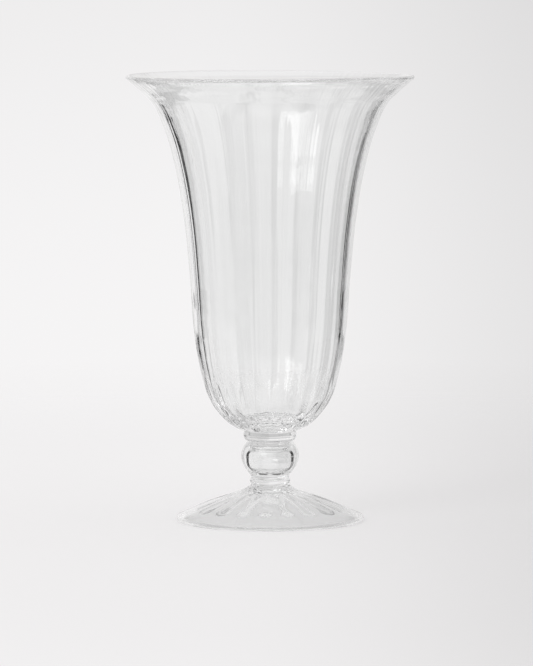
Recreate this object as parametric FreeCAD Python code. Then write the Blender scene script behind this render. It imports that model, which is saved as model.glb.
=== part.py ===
import FreeCAD, Part
import math
import os

# A footed trumpet vase in clear blown glass, in millimetres.
# +Z runs up the axis, and the origin is the middle of the ring that the foot stands on.
# Five pieces of hot glass are stacked on the axis and meet face to face. From the table up they are
# a ribbed foot, a thin wafer, a hollow knop, a collar and a ribbed trumpet bowl.

# The whole vase
vase_height = 380.0
rim_radius = 122.5
foot_radius = 79.8

# How high each piece below the bowl stands
foot_height = 30.6
wafer_height = 5.2
knop_height = 32.0
collar_height = 8.8

# The round faces where the pieces are stuck together
foot_seat_radius = 15.8
wafer_seat_radius = 16.2
knop_seat_radius = 18.6
bowl_seat_radius = 22.2

# Bowl: its wall, its ribs and its lip
bowl_wall = 5.0
bowl_floor = 8.5
bowl_rib_count = 24
bowl_rib_depth = 1.2
lip_bead_radius = 1.9
lip_height = 22.6
lip_end_angle = 35.0

# Foot: its wall, its ribs and its edge, which stands on a narrow flat ring
foot_wall = 3.6
foot_crown = 6.6
foot_rib_count = 18
foot_rib_depth = 2.6
foot_edge_round = 2.2
foot_edge_slope = 24.0
rest_ring_width = 2.0

# Wafer, collar, and the knop with its bubble
wafer_radius = 17.4
wafer_widest_height = 3.9
collar_radius = 22.7
collar_widest_height = 5.2
knop_radius = 24.5
knop_widest_height = 19.2
knop_neck_radius = 16.7
knop_neck_height = 2.6
bubble_radius = 17.2
bubble_height = 21.6
bubble_floor = 4.6
# How round the bubble's corners are below and above, as shares of half its height
bubble_floor_corner_share = 0.74
bubble_roof_corner_share = 0.93

# How far a cutting body runs past the glass that it cuts
overrun = 5.0
# A point this near to the axis counts as on it
on_axis = 0.0001

# The bowl's outline above its seat, up to where the lip starts: shares of the way up and of rim_radius
bowl_outline_shares = [
    (0.012, 0.246),
    (0.045, 0.338),
    (0.098, 0.4245),
    (0.175, 0.4805),
    (0.300, 0.5305),
    (0.480, 0.562),
    (0.660, 0.6055),
    (0.820, 0.672),
    (0.930, 0.7485),
    (1.000, 0.827),
]
# How deep a rib is at the seat and at each of those places, as shares of its full depth
bowl_rib_shares = [0.3, 0.5, 0.9, 1.0, 0.8, 0.6, 0.5, 0.5, 0.55, 0.5, 0.0]
# How thick the wall is from the second of those places up, as shares of bowl_wall
bowl_wall_shares = [1.25, 1.15, 1.05, 1.0, 1.0, 0.95, 0.9, 0.85, 0.8]

# The foot's outline from its edge up to its seat: shares of the way up, and of the way out again
foot_outline_shares = [
    (0.120, 0.906),
    (0.405, 0.627),
    (0.680, 0.296),
    (0.860, 0.098),
]
# How deep a rib is at the edge, at each of those places and at the seat
foot_rib_shares = [0.0, 0.8, 1.0, 0.6, 0.15, 0.0]

# Where each piece starts
wafer_base = foot_height
knop_base = wafer_base + wafer_height
collar_base = knop_base + knop_height
bowl_base = collar_base + collar_height


def point(radius, height, turn=0.0):
    """A point at a radius and a height, turned about the axis by an angle in radians."""
    return FreeCAD.Vector(radius * math.cos(turn), radius * math.sin(turn), height)


def along(angle):
    """A unit step in the outline's plane, at an angle in degrees above level."""
    return point(math.cos(math.radians(angle)), math.sin(math.radians(angle)))


def line(start, end):
    return Part.makeLine(start, end)


def arc(start, middle, end):
    return Part.Arc(start, middle, end).toShape()


def far_angle(start, end, angle):
    """The angle at which an arc arrives, if it sets off at the given one, or the other way about."""
    return 2 * math.degrees(math.atan2(end.z - start.z, end.x - start.x)) - angle


def arc_leaving(start, end, angle):
    """The arc from start to end that sets off at an angle in degrees above level."""
    turn = far_angle(start, end, angle) - angle
    chord = end - start
    bulge = chord.Length / 2 * math.tan(math.radians(turn / 4))
    aside = FreeCAD.Vector(chord.z, 0, -chord.x).normalize()
    return arc(start, (start + end) / 2 + aside * bulge, end)


def arc_arriving(start, end, angle):
    """The arc from start to end that arrives at an angle in degrees above level."""
    return arc_leaving(start, end, far_angle(start, end, angle))


def smooth(places, first_step, last_step):
    """A smooth curve through the places, which sets off along the first step and arrives along the last."""
    curve = Part.BSplineCurve()
    first = FreeCAD.Vector(first_step).normalize()
    last = FreeCAD.Vector(last_step).normalize()
    curve.interpolate(Points=places, InitialTangent=first, FinalTangent=last, Scale=False)
    return curve


def inside_of(curve, places, walls):
    """The points a wall's thickness to the left of a curve, as it passes each of its places."""
    found = []
    for place, wall in zip(places, walls):
        step = curve.tangent(curve.parameter(place))[0]
        found.append(place + FreeCAD.Vector(-step.z, 0, step.x) * wall)
    return found


def turned(edges):
    """The solid that an outline sweeps about the axis. The outline starts and ends on the axis."""
    ends = [vertex.Point for edge in edges for vertex in edge.Vertexes if abs(vertex.X) < on_axis]
    face = Part.Face(Part.Wire(Part.__sortEdges__(edges + [line(ends[0], ends[-1])])))
    return face.revolve(point(0, 0), FreeCAD.Vector(0, 0, 1), 360)


def ribbed_ring(crest_radius, height, depth, count):
    """One level of a ribbed skin: an arc over each rib, and an arc through each hollow beside it."""
    pitch = 2 * math.pi / count
    edges = []
    for rib in range(count):
        crest = rib * pitch
        hollow = crest + pitch / 2
        flanks = [point(crest_radius - depth / 2, height, crest + k * pitch / 4) for k in (-1, 1, 3)]
        edges.append(arc(flanks[0], point(crest_radius, height, crest), flanks[1]))
        edges.append(arc(flanks[1], point(crest_radius - depth, height, hollow), flanks[2]))
    return Part.Wire(edges)


def ribbed_body(outline, depths, count):
    """The solid inside a ribbed skin, which passes through a ring at each place of its outline."""
    rings = [ribbed_ring(place.x, place.z, depth, count) for place, depth in zip(outline, depths)]
    return Part.makeLoft(rings, True, False)


def make_bowl():
    """The trumpet: a round cup that widens slowly, then turns out to a rounded lip."""
    lip_base = vase_height - lip_height
    rise = lip_base - bowl_base
    seat = point(bowl_seat_radius, bowl_base)
    stations = [point(r * rim_radius, bowl_base + h * rise) for h, r in bowl_outline_shares]
    lip_start = stations[-1]
    outline = [seat] + stations
    depths = [share * bowl_rib_depth for share in bowl_rib_shares]
    ribbed = ribbed_body(outline, depths, bowl_rib_count)

    # The lip flares on from the ribbed wall, and its edge is melted to a round bead
    bead_centre = point(rim_radius - lip_bead_radius, vase_height - lip_bead_radius)
    bead_side = along(lip_end_angle - 90) * lip_bead_radius
    bead_under = bead_centre + bead_side
    bead_over = bead_centre - bead_side
    bead_tip = bead_centre + along(lip_end_angle) * lip_bead_radius
    flare_angle = far_angle(lip_start, bead_under, lip_end_angle)
    lip = turned(
        [
            line(point(0, lip_base), lip_start),
            arc_arriving(lip_start, bead_under, lip_end_angle),
            arc(bead_under, bead_tip, bead_over),
            line(bead_over, point(0, bead_over.z)),
        ]
    )

    # The inside is smooth, and ends in a round floor
    curve = smooth(outline, stations[0] - seat, along(flare_angle))
    skin = stations[1:]
    walls = [share * bowl_wall + depth / 2 for share, depth in zip(bowl_wall_shares, depths[2:])]
    inside = inside_of(curve, skin, walls)
    floor = point(0, bowl_base + bowl_floor)
    cavity_side = smooth([floor] + inside, along(0), along(flare_angle))
    mouth = point(bead_over.x, vase_height + overrun)
    cavity = turned(
        [
            cavity_side.toShape(),
            arc_arriving(inside[-1], bead_over, lip_end_angle),
            line(bead_over, mouth),
            line(mouth, point(0, mouth.z)),
        ]
    )
    return ribbed.fuse(lip).cut(cavity).removeSplitter()


def make_foot():
    """The foot: a low ribbed cone, hollow beneath, on a rounded edge with a narrow flat ring."""
    edge_centre = point(foot_radius - foot_edge_round, foot_edge_round)
    edge_top = edge_centre + along(90 - foot_edge_slope) * foot_edge_round
    seat = point(foot_seat_radius, foot_height)
    reach = edge_top.x - seat.x
    rise = seat.z - edge_top.z
    stations = [point(seat.x + r * reach, edge_top.z + h * rise) for h, r in foot_outline_shares]
    outline = [edge_top] + stations + [seat]
    depths = [share * foot_rib_depth for share in foot_rib_shares]
    ribbed = ribbed_body(outline, depths, foot_rib_count)

    edge_side = edge_centre + along(0) * foot_edge_round
    edge_bottom = point(edge_centre.x, 0)
    edge = turned(
        [
            line(point(0, 0), edge_bottom),
            arc(edge_bottom, edge_centre + along(-45) * foot_edge_round, edge_side),
            arc(edge_side, edge_centre + along(45 - foot_edge_slope / 2) * foot_edge_round, edge_top),
            line(edge_top, point(0, edge_top.z)),
        ]
    )

    curve = smooth(outline, along(180 - foot_edge_slope), along(90))
    skin = stations[:3]
    inside = inside_of(curve, skin, [foot_wall] * len(skin))
    crown = point(0, foot_height - foot_crown)
    ring_inside = point(edge_bottom.x - rest_ring_width, 0)
    below = point(ring_inside.x, -overrun)
    hollow = turned(
        [
            line(point(0, below.z), below),
            line(below, ring_inside),
            smooth([ring_inside] + inside + [crown], inside[0] - ring_inside, along(180)).toShape(),
        ]
    )
    return ribbed.fuse(edge).cut(hollow).removeSplitter()


def make_wafer():
    """The thin wafer of glass between the foot and the knop, widest near its top."""
    bottom = point(foot_seat_radius, wafer_base)
    widest = point(wafer_radius, wafer_base + wafer_widest_height)
    top = point(wafer_seat_radius, knop_base)
    return turned(
        [
            line(point(0, wafer_base), bottom),
            arc_arriving(bottom, widest, 90),
            arc_leaving(widest, top, 90),
            line(top, point(0, knop_base)),
        ]
    )


def dish(pole, widest, corner):
    """Two arcs from a shallow dish's pole, on the axis, out to its widest circle round a corner."""
    height = widest.z - pole.z
    way = math.copysign(1, height)
    corner_centre = point(widest.x - corner, widest.z)
    depth = abs(height)
    reach = (corner_centre.x ** 2 + depth ** 2 - corner ** 2) / (2 * (depth - corner))
    dish_centre = point(0, pole.z + way * reach)
    outwards = (corner_centre - dish_centre).normalize()
    meet = corner_centre + outwards * corner
    far = math.degrees(math.atan2(outwards.z, outwards.x)) + 90 * way
    return [arc_leaving(pole, meet, 0), arc_leaving(meet, widest, far)]


def make_knop():
    """The knop: a slightly flattened ball on a short neck, with a bubble of air sealed inside."""
    bottom = point(wafer_seat_radius, knop_base)
    neck = point(knop_neck_radius, knop_base + knop_neck_height)
    widest = point(knop_radius, knop_base + knop_widest_height)
    top = point(knop_seat_radius, collar_base)
    ball = turned(
        [
            line(point(0, knop_base), bottom),
            arc_arriving(bottom, neck, far_angle(neck, widest, 90)),
            arc_arriving(neck, widest, 90),
            arc_leaving(widest, top, 90),
            line(top, point(0, collar_base)),
        ]
    )
    floor = point(0, knop_base + bubble_floor)
    roof = point(0, floor.z + bubble_height)
    waist = point(bubble_radius, (floor.z + roof.z) / 2)
    lower = dish(floor, waist, bubble_floor_corner_share * bubble_height / 2)
    upper = dish(roof, waist, bubble_roof_corner_share * bubble_height / 2)
    bubble = turned(lower + upper[::-1])
    return ball.cut(bubble)


def make_collar():
    """The collar that joins the knop to the bowl: a round ring of glass, fuller above than below."""
    bottom = point(knop_seat_radius, collar_base)
    widest = point(collar_radius, collar_base + collar_widest_height)
    top = point(bowl_seat_radius, bowl_base)
    return turned(
        [
            line(point(0, collar_base), bottom),
            arc_arriving(bottom, widest, 90),
            arc_leaving(widest, top, 90),
            line(top, point(0, bowl_base)),
        ]
    )


makers = {
    "foot": make_foot,
    "wafer": make_wafer,
    "knop": make_knop,
    "collar": make_collar,
    "bowl": make_bowl,
}

os.makedirs("parts", exist_ok=True)
for name, make in makers.items():
    shape = make()
    solids = shape.Solids
    box = shape.BoundBox
    print(name, len(solids), "solid", shape.isValid(), "height", round(box.ZMin, 2), round(box.ZMax, 2))
    print("  radius", round(box.XMax, 2), "volume", round(shape.Volume), "faces", len(shape.Faces))
    shape.exportStep("parts/" + name + ".step")
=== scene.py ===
# %% [markdown]
# A footed trumpet vase in clear blown glass: a bowl that flares like a trumpet,
# a collar, a hollow ball knop, a thin wafer and a low foot.

# %% The frame
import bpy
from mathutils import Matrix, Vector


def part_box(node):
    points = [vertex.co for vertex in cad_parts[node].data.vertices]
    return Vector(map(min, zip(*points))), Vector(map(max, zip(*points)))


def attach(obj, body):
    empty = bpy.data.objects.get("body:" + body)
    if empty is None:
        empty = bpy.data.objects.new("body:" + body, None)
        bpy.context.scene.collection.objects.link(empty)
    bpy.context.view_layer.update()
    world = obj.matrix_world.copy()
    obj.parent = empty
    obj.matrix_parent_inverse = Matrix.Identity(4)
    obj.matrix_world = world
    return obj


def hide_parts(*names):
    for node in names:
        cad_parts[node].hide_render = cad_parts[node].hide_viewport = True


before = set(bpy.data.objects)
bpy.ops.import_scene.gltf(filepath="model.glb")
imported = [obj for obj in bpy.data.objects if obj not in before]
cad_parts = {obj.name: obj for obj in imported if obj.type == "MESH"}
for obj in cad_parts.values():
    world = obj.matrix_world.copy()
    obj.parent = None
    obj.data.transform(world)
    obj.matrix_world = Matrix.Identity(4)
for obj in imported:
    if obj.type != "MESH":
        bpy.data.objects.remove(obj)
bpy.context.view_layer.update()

import math

import bmesh
import bpy
from mathutils import Vector

print("nodes:", ", ".join(sorted(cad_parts)))

# %% [markdown]
# Every size comes from the frame. A turned piece needs only its own radius, the
# height that it starts at and how tall it is, and its outline is then written as
# shares of these. Pieces that are melted together share the radius of their joint.

# %% Sizes of the five pieces
PIECES = ("foot", "wafer", "knop", "collar", "bowl")
radius, base, height = {}, {}, {}
for name in PIECES:
    low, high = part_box(name)
    radius[name] = high.x
    base[name] = low.z
    height[name] = high.z - low.z
    print(f"{name}: radius {radius[name] * 1000:.1f} mm, from {base[name] * 1000:.1f} mm,"
          f" {height[name] * 1000:.1f} mm tall")

MM = 0.001
vase_height = base["bowl"] + height["bowl"]
# the radius of each melted joint, as a share of a piece that meets there
foot_seat = 0.198 * radius["foot"]
wafer_seat = 0.661 * radius["knop"]
knop_seat = 0.759 * radius["knop"]
collar_seat = 0.978 * radius["collar"]

# %% [markdown]
# The camera looks down by five degrees from far away through a long lens, because
# in the photograph the rim is a thin ellipse and the sides hardly converge. The
# photograph is 533 pixels wide and 666 tall, and the vase stands a little to the
# right of its middle, which a small shift of the lens gives.

# %% Camera
PHOTO_TALL = 666              # pixels
FOCAL_PIXELS = 4718           # focal length in the photograph's pixels
VASE_OFF_CENTRE = 3.5         # pixels to the right of the middle
SENSOR = 36                   # millimetres
LOOK_DOWN = 5                 # degrees
CAMERA_AWAY = 4.0             # metres in front of the axis
CAMERA_UP = 0.510             # metres above the table
FAR_ENOUGH = 200              # metres that the camera sees

scene = bpy.context.scene
camera_data = bpy.data.cameras.new("camera")
camera_data.sensor_width = SENSOR
camera_data.lens = SENSOR * FOCAL_PIXELS / PHOTO_TALL
camera_data.shift_x = -VASE_OFF_CENTRE / PHOTO_TALL
camera_data.clip_end = FAR_ENOUGH
camera = bpy.data.objects.new("camera", camera_data)
camera.location = (0, -CAMERA_AWAY, CAMERA_UP)
camera.rotation_euler = (math.radians(90 - LOOK_DOWN), 0, 0)
scene.collection.objects.link(camera)
scene.camera = camera
print(f"lens {camera_data.lens:.0f} mm")

# %% [markdown]
# Materials, the world and the ruled shapes are all trees of small nodes. Each tree
# could be drawn by hand in an editor, but in a script a few helpers say the same in
# less room: one adds a node, one links it, and the others are sums that come often.

# %% Helpers for nodes
def place_node(tree, kind, **settings):
    """Add a node, set its properties, and return it."""
    node = tree.nodes.new(kind)
    for key, value in settings.items():
        setattr(node, key, value)
    return node


def join(tree, source, target):
    """Link an output to an input, or set the input to a plain value."""
    if isinstance(source, bpy.types.NodeSocket):
        tree.links.new(source, target)
    else:
        target.default_value = source


def calculate(tree, operation, *values):
    """A Math node on sockets or numbers."""
    node = place_node(tree, "ShaderNodeMath", operation=operation)
    for value, socket in zip(values, node.inputs):
        join(tree, value, socket)
    return node.outputs[0]


def smooth_step(tree, value, low, high, at_low=0.0, at_high=1.0):
    """A soft change from at_low to at_high while the value goes from low to high."""
    node = place_node(tree, "ShaderNodeMapRange", interpolation_type="SMOOTHSTEP")
    for source, label in ((value, "Value"), (low, "From Min"), (high, "From Max"),
                          (at_low, "To Min"), (at_high, "To Max")):
        join(tree, source, node.inputs[label])
    return node.outputs["Result"]


def blend(tree, share, one, other):
    """One value, or the other as share goes to 1."""
    node = place_node(tree, "ShaderNodeMix", data_type="FLOAT")
    for source, socket in ((share, 0), (one, 2), (other, 3)):
        join(tree, source, node.inputs[socket])
    return node.outputs[0]


def split(tree, vector):
    """The three parts of a vector."""
    node = place_node(tree, "ShaderNodeSeparateXYZ")
    join(tree, vector, node.inputs[0])
    return node.outputs


def combine(tree, *parts):
    """A vector from its three parts."""
    node = place_node(tree, "ShaderNodeCombineXYZ")
    for part, socket in zip(parts, node.inputs):
        join(tree, part, socket)
    return node.outputs[0]


print("helpers for nodes are ready")

# %% [markdown]
# Blown glass is fire polished and very smooth. What little relief it has comes from
# the blowing: on the stem and the foot soft waves, and on the bowl fine upright
# streaks. Both are one noise. The streaks read it at the direction from the axis
# alone, so it doesn't change with the height. Both read Object coordinates, so they
# stay on the piece.

# %% Waves and streaks in the glass
STREAKS_FADE = (140 * MM, 200 * MM)     # heights between which the streaks come in


def soft_waves(tree, place, scale):
    """A noise with about so many soft lumps in a metre."""
    waves = place_node(tree, "ShaderNodeTexNoise")
    waves.inputs["Scale"].default_value = scale
    waves.inputs["Detail"].default_value = 1
    join(tree, place, waves.inputs["Vector"])
    return waves.outputs["Fac"]


def upright_streaks(tree, place, scale):
    """The same noise round the axis, so many streaks in a radian."""
    flat = place_node(tree, "ShaderNodeMapping")
    flat.inputs["Scale"].default_value = (1, 1, 0)
    join(tree, place, flat.inputs["Vector"])
    outwards = place_node(tree, "ShaderNodeVectorMath", operation="NORMALIZE")
    join(tree, flat.outputs[0], outwards.inputs[0])
    fade = smooth_step(tree, split(tree, place)[2], *STREAKS_FADE)
    return calculate(tree, "MULTIPLY", soft_waves(tree, outwards.outputs[0], scale), fade)


print("streaks come in between", STREAKS_FADE, "m")

# %% [markdown]
# Clear glass is one Principled shader with Transmission Weight 1 and the index of
# refraction of soda glass. Light does all the drawing, so the shape has to be right
# in front and behind, wall thickness too. The relief goes into Bump. A second noise
# gives the stem and the foot a breath of Roughness, in clouds, as handling leaves it.

# %% Clear blown glass
GLASS_TINT = (0.975, 0.980, 0.978, 1)
GLASS_IOR = 1.5
CLOUD_FROM, CLOUD_TO = 0.45, 0.75       # of the noise, between which the polish dulls


def clear_glass(name, relief, scale, depth):
    """Fire-polished glass with waves or streaks of this scale and depth."""
    material = bpy.data.materials.new(name)
    material.use_nodes = True
    tree = material.node_tree
    shader = tree.nodes["Principled BSDF"]
    shader.inputs["Base Color"].default_value = GLASS_TINT
    shader.inputs["Transmission Weight"].default_value = 1
    shader.inputs["IOR"].default_value = GLASS_IOR
    shader.inputs["Roughness"].default_value = 0
    place = place_node(tree, "ShaderNodeTexCoord").outputs["Object"]
    bump = place_node(tree, "ShaderNodeBump")
    bump.inputs["Strength"].default_value = 1
    bump.inputs["Distance"].default_value = depth
    join(tree, relief(tree, place, scale), bump.inputs["Height"])
    join(tree, bump.outputs["Normal"], shader.inputs["Normal"])
    return material


def cloud_polish(material, scale, roughest):
    """Dull the polish a little, in clouds with about so many in a metre."""
    tree = material.node_tree
    clouds = place_node(tree, "ShaderNodeTexNoise")
    clouds.inputs["Scale"].default_value = scale
    clouds.inputs["Detail"].default_value = 2
    join(tree, place_node(tree, "ShaderNodeTexCoord").outputs["Object"],
         clouds.inputs["Vector"])
    join(tree, smooth_step(tree, clouds.outputs["Fac"], CLOUD_FROM, CLOUD_TO, 0.0, roughest),
         tree.nodes["Principled BSDF"].inputs["Roughness"])


bowl_glass = clear_glass("bowl_glass_clear", upright_streaks, 24, 0.11 * MM)
stem_glass = clear_glass("stem_glass_clear", soft_waves, 1 / (12 * MM), 0.05 * MM)
foot_glass = clear_glass("foot_glass_clear", soft_waves, 1 / (15 * MM), 0.01 * MM)
cloud_polish(stem_glass, 25, 0.015)
cloud_polish(foot_glass, 20, 0.02)
print("glass:", bowl_glass.name, stem_glass.name, foot_glass.name)

# %% [markdown]
# On the real vase nothing shows where two pieces were melted together, because the
# glass goes straight through. Two touching faces of glass would mirror and bend
# light there. So both faces of a joint get a material with no alpha: light passes
# them unchanged, and the five pieces read as one.

# %% Melted joint
joint_glass = bpy.data.materials.new("melted_joint")
joint_glass.use_nodes = True
joint_glass.node_tree.nodes["Principled BSDF"].inputs["Alpha"].default_value = 0
cloud_polish(joint_glass, 5, 0.05)
print("joint:", joint_glass.name)

# %% [markdown]
# All five pieces follow one rule: an outline turned about the axis, with ribs that
# a mould pressed in. It could be modelled with Spin, but then every change means
# doing it again. Geometry Nodes keep the rule: the tree lays out a flat grid, takes
# one row from each point of the outline and wraps the columns round the axis.
#
# Each point of the outline carries two numbers besides its place. Its radius says
# how deep the ribs are there, and its tilt how far the inside moves to one side,
# because a blown bore is never quite in the middle.

# %% Rows and columns of the grid
def field(tree, name):
    """What each vertex or point says of itself, such as its Position."""
    return place_node(tree, "GeometryNodeInput" + name).outputs[0]


def outline_points(tree, outline):
    """The outline as plain points, one for each row."""
    handles = place_node(tree, "GeometryNodeCurveSetHandles", handle_type="AUTO",
                         mode={"LEFT", "RIGHT"})
    join(tree, outline, handles.inputs["Curve"])
    points = place_node(tree, "GeometryNodeResampleCurve", mode="EVALUATED")
    join(tree, handles.outputs["Curve"], points.inputs["Curve"])
    return points.outputs["Curve"]


def flat_grid(tree, points, columns):
    """A grid, with the angle round the axis and the row of each of its vertices."""
    count = place_node(tree, "GeometryNodeAttributeDomainSize", component="CURVE")
    join(tree, points, count.inputs["Geometry"])
    rows = count.outputs["Point Count"]
    grid = place_node(tree, "GeometryNodeMeshGrid")
    join(tree, calculate(tree, "ADD", columns, 1), grid.inputs["Vertices X"])
    join(tree, rows, grid.inputs["Vertices Y"])
    place = split(tree, field(tree, "Position"))
    angle = calculate(tree, "MULTIPLY_ADD", place[0], 2 * math.pi, math.pi)
    last_row = calculate(tree, "SUBTRACT", rows, 1)
    from_first = calculate(tree, "ADD", place[1], 0.5)
    row = calculate(tree, "ROUND", calculate(tree, "MULTIPLY", last_row, from_first))
    return grid.outputs["Mesh"], angle, row


def read_outline(tree, points, row, kind, name):
    """One value of the outline at this row."""
    sample = place_node(tree, "GeometryNodeSampleIndex", data_type=kind)
    join(tree, points, sample.inputs["Geometry"])
    join(tree, field(tree, name), sample.inputs["Value"])
    join(tree, row, sample.inputs["Index"])
    return sample.outputs["Value"]


print("grid: one row for each point of an outline")

# %% [markdown]
# The hand leaves everything a little uneven. One noise serves for all of it: it is
# read on a circle, so it closes on itself, and its seed is fixed, so every run of
# this lesson gives the same vase. The ribs are a plain cosine round the axis.

# %% Ribs, swells and streaks
EVEN_FADE = 30 * MM           # height over which the wall turns uneven
STREAKS = 20.0                # fine streaks of the blowing in a radian
LIP_WAVES = 2.0               # times that the lip rises and falls on its way round
LIP_TURN = 0.6                # radians


def hand_noise(tree, given, circle, up_to, scale, changes_per_metre, seed_step):
    """Noise with about so many lumps in a radian, and so many in a metre of height."""
    climb = calculate(tree, "MULTIPLY", up_to, changes_per_metre / scale)
    noise = place_node(tree, "ShaderNodeTexNoise", noise_dimensions="4D")
    join(tree, combine(tree, *circle, climb), noise.inputs["Vector"])
    join(tree, calculate(tree, "ADD", given["Seed"], seed_step), noise.inputs["W"])
    noise.inputs["Scale"].default_value = scale
    noise.inputs["Detail"].default_value = 1.0
    return noise.outputs["Fac"]


def rib_grooves(tree, given, angle, rib_share, sway_noise):
    """How deep the mould pressed the wall in here, between two ribs."""
    sway = calculate(tree, "MULTIPLY", given["Rib Sway"],
                     calculate(tree, "SUBTRACT", sway_noise, 0.5))
    turned = calculate(tree, "ADD", sway,
                       calculate(tree, "SUBTRACT", angle, given["Rib Turn"]))
    wave = calculate(tree, "COSINE", calculate(tree, "MULTIPLY", turned, given["Ribs"]))
    groove = calculate(tree, "MULTIPLY_ADD", wave, -0.5, 0.5)
    return calculate(tree, "MULTIPLY", calculate(tree, "MULTIPLY", rib_share, groove),
                     given["Rib Depth"])


def uneven_wall(tree, given, up_to, swell_noise, streak_noise):
    """How much thinner the hand left the wall here, in swells and in streaks."""
    above = smooth_step(tree, up_to, given["Even Below"],
                        calculate(tree, "ADD", given["Even Below"], EVEN_FADE))
    swell = calculate(tree, "MULTIPLY", given["Unevenness"], swell_noise)
    streaks = calculate(tree, "MULTIPLY", given["Streak Depth"], streak_noise)
    return calculate(tree, "MULTIPLY", above, calculate(tree, "ADD", swell, streaks))


def lip_drop(tree, given, angle, up_to):
    """How far the lip sinks here, because it rises and falls on its way round."""
    swing = calculate(tree, "MULTIPLY_ADD", calculate(
        tree, "SINE", calculate(tree, "MULTIPLY_ADD", angle, LIP_WAVES, LIP_TURN)), 0.5, 0.5)
    return calculate(tree, "MULTIPLY", calculate(tree, "MULTIPLY", swing, given["Lip Wave"]),
                     smooth_step(tree, up_to, given["Lip Start"], given["Lip Top"]))


print("hand:", STREAKS, "streaks in a radian,", LIP_WAVES, "waves of the lip")

# %% [markdown]
# The tree puts these together. It wraps the grid, merges the seam and the poles, so
# that the mesh is closed, and gives the flat faces at a joint their clear material.

# %% The turning tree
SAME_PLACE = 1e-6             # metres, closer than which two places are one
LEVEL = 0.999                 # upward part of the normal of a flat face


def make_inputs(tree):
    """Name the inputs of the tree, and keep the identifier of each."""
    sockets = (("Outline", "Geometry"), ("Columns", "Int"), ("Ribs", "Int"),
               ("Rib Depth", "Float"), ("Rib Turn", "Float"), ("Rib Sway", "Float"),
               ("Streak Depth", "Float"), ("Unevenness", "Float"),
               ("Even Below", "Float"), ("Seed", "Float"), ("Bore Shift", "Vector"),
               ("Lip Wave", "Float"), ("Lip Start", "Float"), ("Lip Top", "Float"),
               ("Lower Joint", "Float"), ("Upper Joint", "Float"),
               ("Glass", "Material"), ("Joint", "Material"))
    names = {}
    for label, kind in sockets:
        socket = tree.interface.new_socket(label, in_out="INPUT",
                                           socket_type="NodeSocket" + kind)
        names[label] = socket.identifier
    return names


def joint_faces(tree, given):
    """The flat faces at the height of one of the two joints."""
    up = split(tree, field(tree, "Position"))[2]
    facing = split(tree, field(tree, "Normal"))[2]
    flat = calculate(tree, "GREATER_THAN", calculate(tree, "ABSOLUTE", facing), LEVEL)
    at_joint = []
    for label in ("Lower Joint", "Upper Joint"):
        gap = calculate(tree, "ABSOLUTE", calculate(tree, "SUBTRACT", up, given[label]))
        at_joint.append(calculate(tree, "LESS_THAN", gap, SAME_PLACE))
    return calculate(tree, "MULTIPLY", flat, calculate(tree, "MAXIMUM", *at_joint))


def wrap_grid(tree, given):
    """The grid wrapped round the axis, with its seam and poles merged."""
    points = outline_points(tree, given["Outline"])
    grid, angle, row = flat_grid(tree, points, given["Columns"])
    out_to, _, up_to = split(tree, read_outline(tree, points, row, "FLOAT_VECTOR",
                                                "Position"))
    rib_share = calculate(tree, "MAXIMUM", 0.0,
                          read_outline(tree, points, row, "FLOAT", "Radius"))
    bore_share = read_outline(tree, points, row, "FLOAT", "CurveTilt")

    circle = calculate(tree, "COSINE", angle), calculate(tree, "SINE", angle)
    swell_noise = hand_noise(tree, given, circle, up_to, 1.0, 5.0, 0.0)
    sway_noise = hand_noise(tree, given, circle, up_to, 2.0, 2.0, 10.0)
    streak_noise = hand_noise(tree, given, circle, up_to, STREAKS, 1.0, 20.0)
    depth = rib_grooves(tree, given, angle, rib_share, sway_noise)
    uneven = calculate(tree, "MINIMUM", out_to, uneven_wall(
        tree, given, up_to, swell_noise, streak_noise))
    reach = calculate(tree, "MAXIMUM", 0.0, calculate(
        tree, "SUBTRACT", out_to, calculate(tree, "ADD", depth, uneven)))

    across, along = [calculate(tree, "MULTIPLY", reach, part) for part in circle]
    up = calculate(tree, "SUBTRACT", up_to, lip_drop(tree, given, angle, up_to))
    shift = place_node(tree, "ShaderNodeVectorMath", operation="SCALE")
    join(tree, given["Bore Shift"], shift.inputs[0])
    join(tree, bore_share, shift.inputs["Scale"])
    moved = place_node(tree, "ShaderNodeVectorMath", operation="ADD")
    join(tree, combine(tree, across, along, up), moved.inputs[0])
    join(tree, shift.outputs[0], moved.inputs[1])
    wrap = place_node(tree, "GeometryNodeSetPosition")
    join(tree, grid, wrap.inputs["Geometry"])
    join(tree, moved.outputs[0], wrap.inputs["Position"])
    closed = place_node(tree, "GeometryNodeMergeByDistance")
    join(tree, wrap.outputs[0], closed.inputs["Geometry"])
    closed.inputs["Distance"].default_value = SAME_PLACE
    return closed.outputs[0]


def make_turning_tree():
    """Turn an outline about Z, with ribs, an uneven wall and clear joints."""
    tree = bpy.data.node_groups.new("turned_glass", "GeometryNodeTree")
    names = make_inputs(tree)
    tree.interface.new_socket("Geometry", in_out="OUTPUT",
                              socket_type="NodeSocketGeometry")
    given = place_node(tree, "NodeGroupInput").outputs
    in_joint = joint_faces(tree, given)
    smooth = place_node(tree, "GeometryNodeSetShadeSmooth")
    join(tree, wrap_grid(tree, given), smooth.inputs["Geometry"])
    join(tree, calculate(tree, "SUBTRACT", 1.0, in_joint), smooth.inputs["Shade Smooth"])
    real = place_node(tree, "GeometryNodeRealizeInstances")
    join(tree, smooth.outputs[0], real.inputs[0])
    coat = place_node(tree, "GeometryNodeSetMaterial")
    join(tree, real.outputs[0], coat.inputs["Geometry"])
    join(tree, given["Glass"], coat.inputs["Material"])
    joint = place_node(tree, "GeometryNodeSetMaterial")
    join(tree, coat.outputs[0], joint.inputs["Geometry"])
    join(tree, in_joint, joint.inputs["Selection"])
    join(tree, given["Joint"], joint.inputs["Material"])
    done = place_node(tree, "NodeGroupOutput")
    join(tree, joint.outputs[0], done.inputs["Geometry"])
    return tree, names


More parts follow.
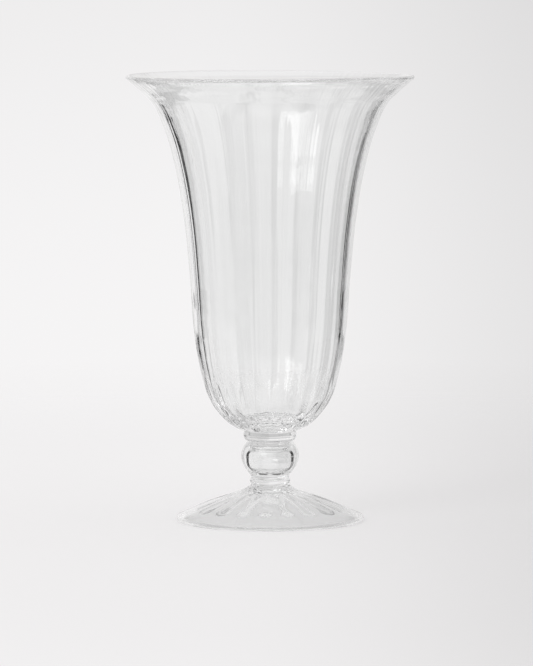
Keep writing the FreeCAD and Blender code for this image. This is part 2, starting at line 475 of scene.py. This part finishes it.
turning_tree, turning_inputs = make_turning_tree()
print("turning tree:", len(turning_tree.nodes), "nodes,", len(turning_inputs), "inputs")

# %% [markdown]
# The outline is a curve object with one spline for each smooth stretch, so a corner
# stays sharp where two stretches meet. The helper hands it to the tree, reads the
# finished mesh with new_from_object and keeps only that plain mesh.

# %% Turning one piece
NO_JOINT = -1.0               # metres, a height that no face has
NO_LIP = (1.0, 2.0)           # metres, heights above every piece
RIBBED_COLUMNS, SMOOTH_COLUMNS = 360, 192


def make_outline(name, stretches):
    """A curve object: each stretch is (resolution, [(radius, height, rib, bore)])."""
    curve = bpy.data.curves.new(name, "CURVE")
    curve.dimensions = "3D"
    for resolution, places in stretches:
        spline = curve.splines.new("BEZIER")
        spline.resolution_u = resolution
        spline.bezier_points.add(len(places) - 1)
        for point, values in zip(spline.bezier_points, places):
            out, up, rib, bore = (tuple(values) + (0, 0))[:4]
            point.co = (out, 0, up)
            point.radius = rib
            point.tilt = bore
            point.handle_left_type = point.handle_right_type = "AUTO"
    return bpy.data.objects.new(name, curve)


def turn_piece(name, stretches, glass, columns, joints=(NO_JOINT, NO_JOINT), **sizes):
    """Turn an outline into a plain mesh of glass."""
    outline = make_outline(name + "_outline", stretches)
    scene.collection.objects.link(outline)
    turning = outline.modifiers.new("turning", "NODES")
    turning.node_group = turning_tree
    values = {"Columns": columns, "Glass": glass, "Joint": joint_glass,
              "Lower Joint": joints[0], "Upper Joint": joints[1],
              "Lip Start": NO_LIP[0], "Lip Top": NO_LIP[1]}
    values.update({label.replace("_", " ").title(): size for label, size in sizes.items()})
    for label, value in values.items():
        turning[turning_inputs[label]] = value
    bpy.context.view_layer.update()
    depsgraph = bpy.context.evaluated_depsgraph_get()
    mesh = bpy.data.meshes.new_from_object(outline.evaluated_get(depsgraph),
                                           depsgraph=depsgraph)
    outline.modifiers.remove(turning)
    bpy.data.objects.remove(outline)
    mesh.name = name
    for number in reversed(range(len(mesh.materials))):
        if mesh.materials[number] is None:
            mesh.materials.pop(index=number)
    return mesh


print("columns round a piece:", RIBBED_COLUMNS, "with ribs,", SMOOTH_COLUMNS, "without")

# %% [markdown]
# A finished mesh becomes an object that rides on the body and takes the place of one
# node. Its volume is printed beside it: a negative one would mean faces turned
# inside out, and open edges would let the light leak.

# %% Finishing one piece
CUBIC_CM = 1e6                # in a cubic metre


def finish_piece(node, meshes):
    """Join closed meshes into one object that stands for a node, and measure it."""
    joined = bmesh.new()
    for mesh in meshes:
        joined.from_mesh(mesh)
    mesh = meshes[0]
    joined.to_mesh(mesh)
    volume = joined.calc_volume(signed=True) * CUBIC_CM
    triangles = sum(len(face.verts) - 2 for face in joined.faces)
    loose = sum(not edge.is_manifold for edge in joined.edges)
    joined.free()
    piece = bpy.data.objects.new(node + "_clear", mesh)
    scene.collection.objects.link(piece)
    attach(piece, "root")
    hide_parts(node)
    print(f"{piece.name}: {volume:.1f} cm3, {triangles} triangles, {loose} open edges,"
          f" materials {[material.name for material in mesh.materials]}")


def arc(middle, arc_radius, first, last, steps):
    """Points of an arc, from the first to the last angle in degrees."""
    places = []
    for step in range(steps + 1):
        turn = math.radians(first + (last - first) * step / steps)
        places.append((middle[0] + arc_radius * math.cos(turn),
                       middle[1] + arc_radius * math.sin(turn)))
    return places


print("each piece is named after its node, with _clear")

# %% [markdown]
# The bowl is the main piece. Its outside swells quickly from the collar, runs nearly
# straight, and flares to the rim, where the maker melted the cut edge into a bead.
# The inside is a second outline about five millimetres in, thicker at the bottom.
# The mould's ribs are deepest low down, and the blowing stretched them almost flat
# higher up, which is why the glass shows soft streaks and not flutes.

# %% Outline of the bowl
rim = radius["bowl"]
seat_height = base["bowl"]
lip_height = 0.0745 * height["bowl"]
lip_start = vase_height - lip_height
bowl_rise = lip_start - seat_height
bead_radius = 0.0155 * rim
bead_middle = (rim - bead_radius, vase_height - bead_radius)

# the outside: height above the seat, radius, and depth of the ribs, as shares
bowl_outline_shares = [(0.012, 0.246, 1.2), (0.045, 0.338, 2.3), (0.098, 0.4245, 1.8),
                       (0.175, 0.4805, 0.7), (0.300, 0.5305, 0.6), (0.480, 0.562, 0.7),
                       (0.660, 0.6055, 1.0), (0.820, 0.672, 1.1), (0.930, 0.7485, 1.2),
                       (1.0, 0.827, 0.6)]
# the outside of the lip, up to the bead: the same, with its height above lip_start
lip_shares = [(0.319, 0.8865, 0.6), (0.575, 0.9355, 0.4), (0.752, 0.9747, 0.1)]
# the inside, downwards: height above the seat, radius, and how far the bore shifts
bore_outline_shares = [(0.9822, 0.9224, 0.3), (0.9578, 0.8571, 0.6), (0.9248, 0.7853, 0.8),
                       (0.8517, 0.6996, 1), (0.7363, 0.6155, 1), (0.5715, 0.5478, 1),
                       (0.3738, 0.5041, 1), (0.2419, 0.4710, 1), (0.1167, 0.3967, 0.8),
                       (0.0771, 0.3453, 0.6), (0.0448, 0.2449, 0.4), (0.0316, 0.1224, 0.2),
                       (0.0280, 0.0, 0.0)]

outside = [(collar_seat, seat_height, 0.3)]
outside += [(out * rim, seat_height + up * bowl_rise, rib)
            for up, out, rib in bowl_outline_shares]
outside += [(out * rim, lip_start + up * lip_height, rib) for up, out, rib in lip_shares]
bead = arc(bead_middle, bead_radius, -55, 125, 12)
outside.append(bead[0] + (0,))
inside = [bead[-1] + (0, 0)]
inside += [(out * rim, seat_height + up * height["bowl"], 0, bore)
           for up, out, bore in bore_outline_shares]
bowl_seat = [(0, seat_height), (collar_seat / 2, seat_height), (collar_seat, seat_height)]
bowl_stretches = [(1, bowl_seat), (9, outside), (1, bead), (8, inside)]
print(f"bowl: {len(outside)} places outside, {len(inside)} inside,"
      f" the bead {bead_radius * 2000:.1f} mm thick")

# %% [markdown]
# The outline goes to the turning tree. The ribs are turned by half a step, so that a
# groove and not a rib faces the camera. The numbers of the hand are small: swells of
# 0.04 mm, streaks of 0.2 mm, a bore 1.5 mm off the axis and a lip that rises and
# falls by 0.8 mm. Thick glass bends light so much that even these show.

# %% Bowl
BOWL_RIBS = 24
bowl_mesh = turn_piece("bowl", bowl_stretches, bowl_glass, RIBBED_COLUMNS,
                       joints=(seat_height, NO_JOINT), ribs=BOWL_RIBS,
                       rib_depth=0.48 * MM, rib_turn=math.pi / BOWL_RIBS,
                       unevenness=0.04 * MM, streak_depth=0.20 * MM,
                       even_below=seat_height, seed=3.0, bore_shift=(1.5 * MM, 0, 0),
                       lip_wave=0.8 * MM, lip_start=lip_start, lip_top=vase_height)
finish_piece("bowl", [bowl_mesh])

# %% [markdown]
# The collar is a short ring of solid glass. It is widest a little above its middle,
# and its two flat faces are melted joints.

# %% Collar
def turn_stem_piece(name, outline_shares, lower_seat, upper_seat):
    """Turn a solid piece of the stem: shares of (radius, height) between its seats."""
    low = base[name]
    high = low + height[name]
    side = [(lower_seat, low)]
    side += [(out * radius[name], low + up * height[name]) for out, up in outline_shares]
    side.append((upper_seat, high))
    lower_face = [(0, low), (lower_seat / 2, low), (lower_seat, low)]
    upper_face = [(upper_seat, high), (upper_seat / 2, high), (0, high)]
    return turn_piece(name, [(1, lower_face), (10, side), (1, upper_face)], stem_glass,
                      SMOOTH_COLUMNS, joints=(low, high))


collar_shares = [(0.925, 0.159), (0.987, 0.364), (1.0, 0.591), (0.9934, 0.818)]
collar_mesh = turn_stem_piece("collar", collar_shares, knop_seat, collar_seat)
finish_piece("collar", [collar_mesh])

# %% [markdown]
# The knop is a ball of glass with a bubble of air trapped inside. The bubble is a
# second closed shell in the same mesh. Its outline runs from top to bottom, so its
# faces point into the air, away from the glass, as they should.

# %% Knop and its bubble
knop_shares = [(0.6816, 0.081), (0.788, 0.1875), (0.914, 0.3375), (0.984, 0.484),
               (1.0, 0.60), (0.98, 0.7375), (0.910, 0.869), (0.8245, 0.956)]
bubble_shares = [(0, 0.819), (0.245, 0.817), (0.469, 0.806), (0.608, 0.766),
                 (0.685, 0.685), (0.703, 0.58), (0.690, 0.46), (0.62, 0.33),
                 (0.449, 0.215), (0.245, 0.157), (0, 0.144)]
knop_mesh = turn_stem_piece("knop", knop_shares, wafer_seat, knop_seat)
bubble = [(out * radius["knop"], base["knop"] + up * height["knop"])
          for out, up in bubble_shares]
bubble_mesh = turn_piece("bubble", [(8, bubble)], stem_glass, SMOOTH_COLUMNS)
finish_piece("knop", [knop_mesh, bubble_mesh])

# %% [markdown]
# The wafer is the thin disc that the maker puts between knop and foot. It is made
# like the collar, only flatter.

# %% Wafer
wafer_shares = [(0.971, 0.365), (1.0, 0.75), (0.977, 0.923)]
wafer_mesh = turn_stem_piece("wafer", wafer_shares, foot_seat, wafer_seat)
finish_piece("wafer", [wafer_mesh])

# %% [markdown]
# The foot is a low dome, hollow beneath, with a round edge that it stands on. Its
# outline starts under the dome, goes round the edge and comes back over the top. The
# ribs run out from the middle, sway a little and fade before they reach the edge.

# %% Foot
foot_radius, foot_height = radius["foot"], height["foot"]
# radius, height and depth of the ribs, as shares, inwards from the edge
foot_outside_shares = [(0.917, 0.216, 0.1), (0.6905, 0.487, 0.8), (0.426, 0.729, 1.0),
                       (0.273, 0.879, 0.4)]
foot_inside_shares = [(0, 0.784), (0.188, 0.765), (0.426, 0.605), (0.689, 0.3595),
                      (0.852, 0.170), (0.947, 0)]
edge_round = 0.0275 * foot_radius
edge_middle = (foot_radius - edge_round, edge_round)
edge = [(edge_middle[0], 0)] + arc(edge_middle, edge_round, -75, 50, 10)
under = [(out * foot_radius, up * foot_height) for out, up in foot_inside_shares]
over = [edge[-1]] + [(out * foot_radius, up * foot_height, rib)
                     for out, up, rib in foot_outside_shares]
over.append((foot_seat, foot_height))
foot_top = [(foot_seat, foot_height), (foot_seat / 2, foot_height), (0, foot_height)]
foot_stretches = [(10, under), (1, [under[-1], edge[0]]), (1, edge), (12, over),
                  (1, foot_top)]
foot_mesh = turn_piece("foot", foot_stretches, foot_glass, RIBBED_COLUMNS,
                       joints=(NO_JOINT, foot_height), ribs=18, rib_depth=2.0 * MM,
                       rib_turn=0.1, rib_sway=0.08)
finish_piece("foot", [foot_mesh])

# %% [markdown]
# A clear object shows nothing but its surroundings, bent. So the studio is part of
# the look, and Light Path tells the rays apart:
# - a ray that was never mirrored sees a plain pale studio on every side, brighter on
#   the left, with a dimmer ceiling, so the vase looks clear from anywhere;
# - a ray that went into a wall, was mirrored there once and came out again sees
#   four pale walls with a dark screen in each corner between them, and these screens
#   draw the thin dark lines along the sides;
# - every other mirrored ray sees a dim room with a window, for the reflections.
# In the melted lip a few rays are mirrored again and again. They would only bring a
# black line, so they see the pale studio too.

# %% Telling the rays apart
MIRRORED = 0.5                # mirrored less often, a ray went straight on
TRAPPED = 7.5                 # mirrored more often, it is lost in the lip
IN_AND_OUT = 2.5              # bent less often, it was inside one wall only


def light_path(tree):
    """Which rays see the pale studio, and which were mirrored once inside a wall."""
    path = place_node(tree, "ShaderNodeLightPath").outputs
    not_mirrored = calculate(tree, "LESS_THAN", path["Glossy Depth"], MIRRORED)
    trapped = calculate(tree, "GREATER_THAN", path["Glossy Depth"], TRAPPED)
    not_diffuse = calculate(tree, "SUBTRACT", 1.0, path["Is Diffuse Ray"])
    straight = calculate(tree, "MULTIPLY", not_diffuse,
                         calculate(tree, "MAXIMUM", not_mirrored, trapped))
    in_and_out = calculate(tree, "MULTIPLY", path["Is Transmission Ray"], calculate(
        tree, "LESS_THAN", path["Transmission Depth"], IN_AND_OUT))
    return straight, in_and_out


print("rays: straight, in and out, and the rest")

# %% [markdown]
# The world reads the direction of each ray. It becomes a turn round the horizon, from
# straight behind the vase to the right, and a lift above it in degrees. The dim room
# is a Color Ramp on the turn: black beside the pale wall, grey on both sides, and
# towards the camera a bright wall on the left and a narrow window on the right.

# %% The dim room
STUDIO_TINT = (1, 0.99, 0.993, 1)
LEFT_EDGE, RIGHT_EDGE = 36, 33          # ends of the pale wall, in degrees
ROOM = [(-180, 0.30), (-172, 0.05), (-164, 0.75), (-120, 0.65), (-90, 0.45),
        (-70, 0.20), (-60, 0.03), (-LEFT_EDGE - 2, 0.02), (-LEFT_EDGE, 1.0),
        (RIGHT_EDGE, 1.0), (RIGHT_EDGE + 2, 0.02), (60, 0.03), (72, 0.25), (90, 0.45),
        (120, 0.50), (136, 0.06), (142, 0.06), (144, 0.8), (152, 0.8), (156, 0.05),
        (172, 0.05), (180, 0.30)]       # degrees, and level beside the pale wall

world = bpy.data.worlds.new("studio")
world.use_nodes = True
scene.world = world
sky = world.node_tree
sky.nodes.clear()
to_right, away, upward = split(sky, place_node(sky, "ShaderNodeTexCoord").outputs["Generated"])
turn = calculate(sky, "ARCTAN2", to_right, away)
lift = calculate(sky, "MULTIPLY", calculate(sky, "ARCSINE", upward), 180 / math.pi)

room = place_node(sky, "ShaderNodeValToRGB")
join(sky, calculate(sky, "MULTIPLY_ADD", turn, 1 / (2 * math.pi), 0.5), room.inputs[0])
stops = room.color_ramp.elements
while len(stops) > 1:
    stops.remove(stops[-1])
for number, (degrees, grey) in enumerate(ROOM):
    place = (degrees + 180) / 360
    stop = stops[0] if number == 0 else stops.new(place)
    stop.position = place
    stop.color = (grey, grey, grey, 1)
print("room:", len(stops), "stops round the horizon")

# %% [markdown]
# The pale wall is what the camera sees behind the vase. It is brighter on the left
# and below, as in the photograph, and brighter again just above the picture, because
# the flare of the bowl bends that part into view. The four walls and their dark
# corners repeat at every quarter turn, so one ping-pong of the turn draws them all.

# %% World
LEFT_PALE, RIGHT_PALE = 0.915, 0.75     # level of the wall left and right of the vase
LEFT_TO_RIGHT = (-0.02, 0.09)           # sideways part of the direction, between them
TOP_SHARE, ABOVE_SHARE = 0.88, 0.10     # left near the picture's top, added above it
TOWARDS_TOP, ABOVE_TOP = (-5.0, 3.0), (-0.5, 2.5)       # lift where each comes in
CORNER, CORNER_SOFT = 34, 1.5           # degrees, where a dark screen starts, how softly
SCREEN = 0.02                           # level of a dark screen
ROOM_TOP, PALE_TOP = (14.0, 32.0), (14.0, 36.0)         # lift where the ceilings come in
ROOM_CEILING, PALE_CEILING = 0.62, 0.5  # level, and share of the wall's level

straight, in_and_out = light_path(sky)
upwards = calculate(sky, "ADD", smooth_step(sky, lift, *TOWARDS_TOP, 1.0, TOP_SHARE),
                    smooth_step(sky, lift, *ABOVE_TOP, 0.0, ABOVE_SHARE))
pale = calculate(sky, "MULTIPLY", upwards,
                 smooth_step(sky, to_right, *LEFT_TO_RIGHT, LEFT_PALE, RIGHT_PALE))
quarter = calculate(sky, "PINGPONG", calculate(sky, "ABSOLUTE", turn), math.pi / 4)
corners = smooth_step(sky, quarter, math.radians(CORNER),
                      math.radians(CORNER + CORNER_SOFT), 1.0, SCREEN)
around = calculate(sky, "MULTIPLY", pale, blend(sky, in_and_out, room.outputs[0], corners))
mirrored = blend(sky, smooth_step(sky, lift, *ROOM_TOP), around, ROOM_CEILING)
studio = calculate(sky, "MULTIPLY", pale,
                   smooth_step(sky, lift, *PALE_TOP, 1.0, PALE_CEILING))
glow = place_node(sky, "ShaderNodeBackground")
glow.inputs["Color"].default_value = STUDIO_TINT
join(sky, blend(sky, straight, mirrored, studio), glow.inputs["Strength"])
sky_out = place_node(sky, "ShaderNodeOutputWorld")
join(sky, glow.outputs[0], sky_out.inputs[0])
print("world:", len(sky.nodes), "nodes")

# %% [markdown]
# The floor is a pale disc without an edge, because it fades into the wall far out.
# It glows by itself as the wall does, and it is also a dull grey that takes light,
# so the vase still throws its shadow there.

# %% Floor
FLOOR_RADIUS = 1.6            # metres
FLOOR_SIDES = 64
FADE = (0.5, 1.5)             # metres from the vase, between which the floor fades
FLOOR_GREY = (0.45, 0.446, 0.447, 1)
LEFT_GLOW, RIGHT_GLOW = 0.55, 0.41      # the floor's own level left and right
ACROSS_FADE = (-0.05, 0.35)             # metres to the right, between them
NEAR_GLOW, FAR_GLOW = -0.035, 0.04      # added in front of the vase, and behind it
DEEP_FADE = (-0.9, 0.6)                 # metres behind the vase, between them

floor_rim = [(FLOOR_RADIUS * math.cos(2 * math.pi * side / FLOOR_SIDES),
              FLOOR_RADIUS * math.sin(2 * math.pi * side / FLOOR_SIDES), 0)
             for side in range(FLOOR_SIDES)]
floor_faces = [(0, 1 + side, 1 + (side + 1) % FLOOR_SIDES) for side in range(FLOOR_SIDES)]
floor_mesh = bpy.data.meshes.new("floor")
floor_mesh.from_pydata([(0, 0, 0)] + floor_rim, [], floor_faces)
floor = bpy.data.objects.new("floor", floor_mesh)
scene.collection.objects.link(floor)

floor_paint = bpy.data.materials.new("floor_pale")
floor_paint.use_nodes = True
ground = floor_paint.node_tree
ground.nodes.clear()
spot = place_node(ground, "ShaderNodeTexCoord").outputs["Object"]
across, deep, _ = split(ground, spot)
shine = place_node(ground, "ShaderNodeEmission")
shine.inputs["Color"].default_value = STUDIO_TINT
join(ground, calculate(ground, "ADD",
                       smooth_step(ground, across, *ACROSS_FADE, LEFT_GLOW, RIGHT_GLOW),
                       smooth_step(ground, deep, *DEEP_FADE, NEAR_GLOW, FAR_GLOW)),
     shine.inputs["Strength"])
dull = place_node(ground, "ShaderNodeBsdfDiffuse")
dull.inputs["Color"].default_value = FLOOR_GREY
paint = place_node(ground, "ShaderNodeAddShader")
join(ground, shine.outputs[0], paint.inputs[0])
join(ground, dull.outputs[0], paint.inputs[1])
far = place_node(ground, "ShaderNodeVectorMath", operation="LENGTH")
join(ground, spot, far.inputs[0])
fade = place_node(ground, "ShaderNodeMixShader")
join(ground, smooth_step(ground, far.outputs["Value"], *FADE), fade.inputs[0])
join(ground, paint.outputs[0], fade.inputs[1])
join(ground, place_node(ground, "ShaderNodeBsdfTransparent").outputs[0], fade.inputs[2])
print("floor:", FLOOR_RADIUS * 2, "m across")

# %% [markdown]
# Many mirrored rays look down and meet the floor before they meet a wall, so the dark screens
# and the dark room are painted on it too, black for the same rays only. This is a painted dark
# reflection: the camera always sees the floor pale. Far out a painted screen is a patch in
# each corner, and nearer the vase a strip that points to that corner. The strip is softer
# close to the vase, where it shows in the stem, and on the right.

# %% Painted dark corners of the floor, seen only in reflections
# each pair says where something fades in or out, in metres from the axis
PATCH_ASIDE = (0.38, 0.46)
PATCH_FROM, PATCH_TO = (0.52, 0.58), (0.87, 0.91)
STRIP_FROM, STRIP_TO = (0.16, 0.22), (0.50, 0.56)
STRIP_SLANT = (0.66, 0.70)              # the shorter way over the longer one
CLOSE_SHARE = 0.75                      # how dark the strip is close to the vase
RIGHT_SHARE, RIGHT_FADE = 0.55, (-0.05, 0.05)           # and on the right
FRONT_SHARE, FRONT_FADE = 0.8, (-0.45, -0.30)           # the dark room's floor
CORNER_LEAN = -0.1                      # of the patches' and strips' ends

straight, in_and_out = light_path(ground)
sideways, lengthways = [calculate(ground, "ABSOLUTE", part) for part in (across, deep)]
shorter = calculate(ground, "MINIMUM", sideways, lengthways)
longer = calculate(ground, "MAXIMUM", sideways, lengthways)
along = calculate(ground, "MULTIPLY_ADD", shorter, CORNER_LEAN, longer)
patch = calculate(ground, "MULTIPLY", smooth_step(ground, along, *PATCH_FROM),
                  smooth_step(ground, along, *PATCH_TO, 1.0, 0.0))
patch = calculate(ground, "MULTIPLY", patch, smooth_step(ground, shorter, *PATCH_ASIDE))
slant = calculate(ground, "DIVIDE", shorter, longer)
strength = blend(ground, smooth_step(ground, along, *STRIP_FROM), CLOSE_SHARE,
                 smooth_step(ground, across, *RIGHT_FADE, 1.0, RIGHT_SHARE))
strip = calculate(ground, "MULTIPLY", strength,
                  smooth_step(ground, along, *STRIP_TO, 1.0, 0.0))
strip = calculate(ground, "MULTIPLY", strip, smooth_step(ground, slant, *STRIP_SLANT))
# painted shade: where the floor turns black for mirrored rays, to draw dark lines in the glass
painted_dark_screens = calculate(ground, "MAXIMUM", patch, strip)
front = smooth_step(ground, deep, *FRONT_FADE, FRONT_SHARE, 0.0)
painted_dark_share = blend(ground, in_and_out, calculate(ground, "MAXIMUM", painted_dark_screens, front), painted_dark_screens)
# painted dark reflection: mirrored rays see black emission here, and camera rays see the pale
# floor
shade = place_node(ground, "ShaderNodeMixShader")
join(ground, blend(ground, straight, painted_dark_share, 0.0), shade.inputs[0])
join(ground, fade.outputs[0], shade.inputs[1])
black = place_node(ground, "ShaderNodeEmission")
black.inputs["Strength"].default_value = 0.0
join(ground, black.outputs[0], shade.inputs[2])
floor_out = place_node(ground, "ShaderNodeOutputMaterial")
join(ground, shade.outputs[0], floor_out.inputs[0])
floor_mesh.materials.append(floor_paint)
print("floor paint:", len(ground.nodes), "nodes")

# %% [markdown]
# One softbox stands in front on the left, higher than the vase. It gives the bright
# patch on the bowl and the soft shadow. The camera doesn't see it directly.

# %% Softbox
KEY_TURN, KEY_LIFT = -37, 32  # degrees to the right of the camera, and up
KEY_AWAY = 1.5                # metres from the middle of the vase
KEY_WIDE, KEY_TALL = 0.7, 0.8           # metres
KEY_WATTS = 4.0

key_data = bpy.data.lights.new("key_softbox", "AREA")
key_data.shape = "RECTANGLE"
key_data.size, key_data.size_y = KEY_WIDE, KEY_TALL
key_data.energy = KEY_WATTS
key = bpy.data.objects.new("key_softbox", key_data)
turn_angle, lift_angle = math.radians(KEY_TURN), math.radians(KEY_LIFT)
to_key = Vector((math.sin(turn_angle) * math.cos(lift_angle),
                 -math.cos(turn_angle) * math.cos(lift_angle), math.sin(lift_angle)))
key.location = to_key * KEY_AWAY + Vector((0, 0, vase_height / 2))
key.rotation_euler = to_key.to_track_quat("Z", "Y").to_euler()
key.visible_camera = False
scene.collection.objects.link(key)
print("softbox at", [round(part, 2) for part in key.location])

# %% [markdown]
# Glass needs many bounces. A ray that is caught in the melted lip goes round in it
# for long, and where it is cut off early the thick edge turns black.

# %% Light paths
BOUNCES = 200
scene.cycles.max_bounces = BOUNCES
scene.cycles.transmission_bounces = BOUNCES
scene.cycles.glossy_bounces = BOUNCES
scene.cycles.transparent_max_bounces = BOUNCES
scene.view_settings.view_transform = "Standard"
print("bounces:", BOUNCES)
